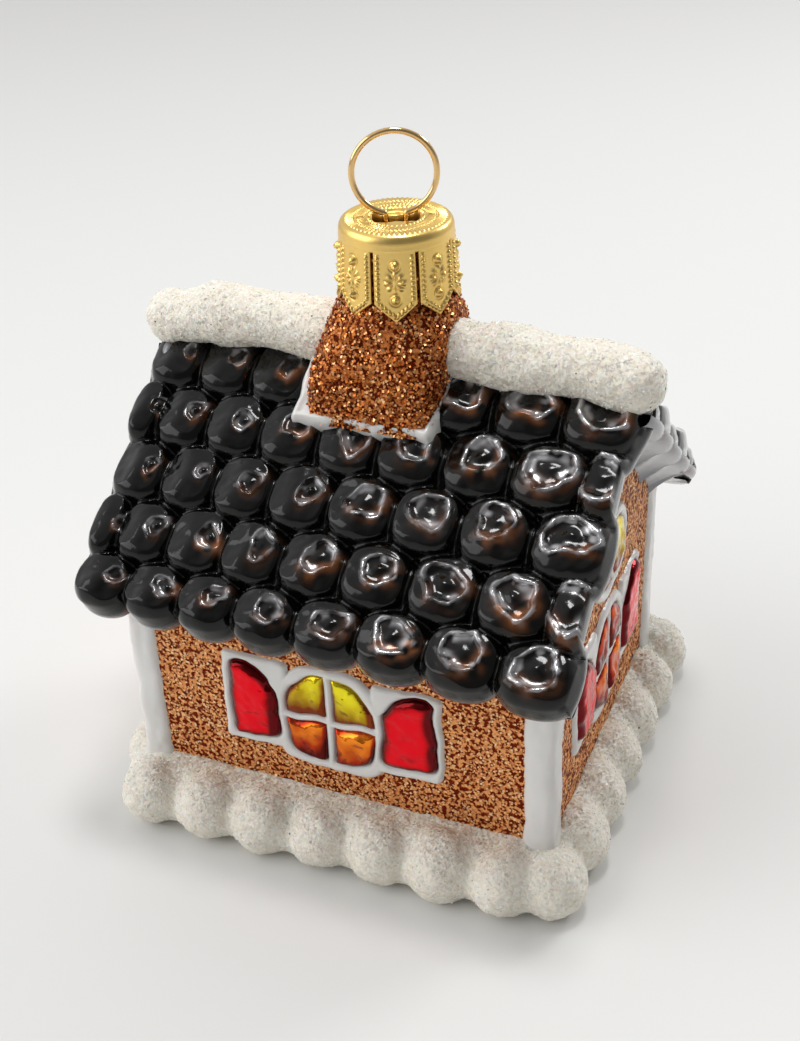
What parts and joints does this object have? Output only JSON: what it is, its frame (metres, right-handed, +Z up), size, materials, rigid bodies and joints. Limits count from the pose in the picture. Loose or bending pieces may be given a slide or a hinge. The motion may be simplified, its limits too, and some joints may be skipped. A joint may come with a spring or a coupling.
{
  "type": "gingerbread house glass ornament",
  "caption": "Small mirrored glass tree ornament shaped as a gingerbread house with a scalloped roof, snow foot, ridge snow, chimney neck, metal cap and wire loop.",
  "frame": {"origin": "on the surface that the ornament stands on, below the middle of its outline", "axes": "+Z up, -Y the front wall, +X along the ridge towards the right gable"},
  "size_m": [0.0608, 0.0568, 0.0787],
  "materials": {
    "painted_glass": "mirrored inside and hand painted outside, the ground under every other finish",
    "copper_glitter": "copper flakes on brown paint",
    "roof_lacquer": "glossy black lacquer, thinner and coppery on the crowns of the scallops",
    "snow_frost": "off-white frosting with fine sparkling flakes",
    "white_paint": "raised white paint, satin",
    "window_red": "clear red lacquer over mirrored glass",
    "window_yellow": "clear yellow lacquer over mirrored glass",
    "window_orange": "clear orange lacquer over mirrored glass",
    "gold_cap": "stamped sheet, satin light gold",
    "brass_wire": "bright drawn wire"
  },
  "bodies": {
    "root": {"glass_body": "painted_glass", "metal_cap": "gold_cap", "wire_loop": "brass_wire"}
  },
  "joints": []
}
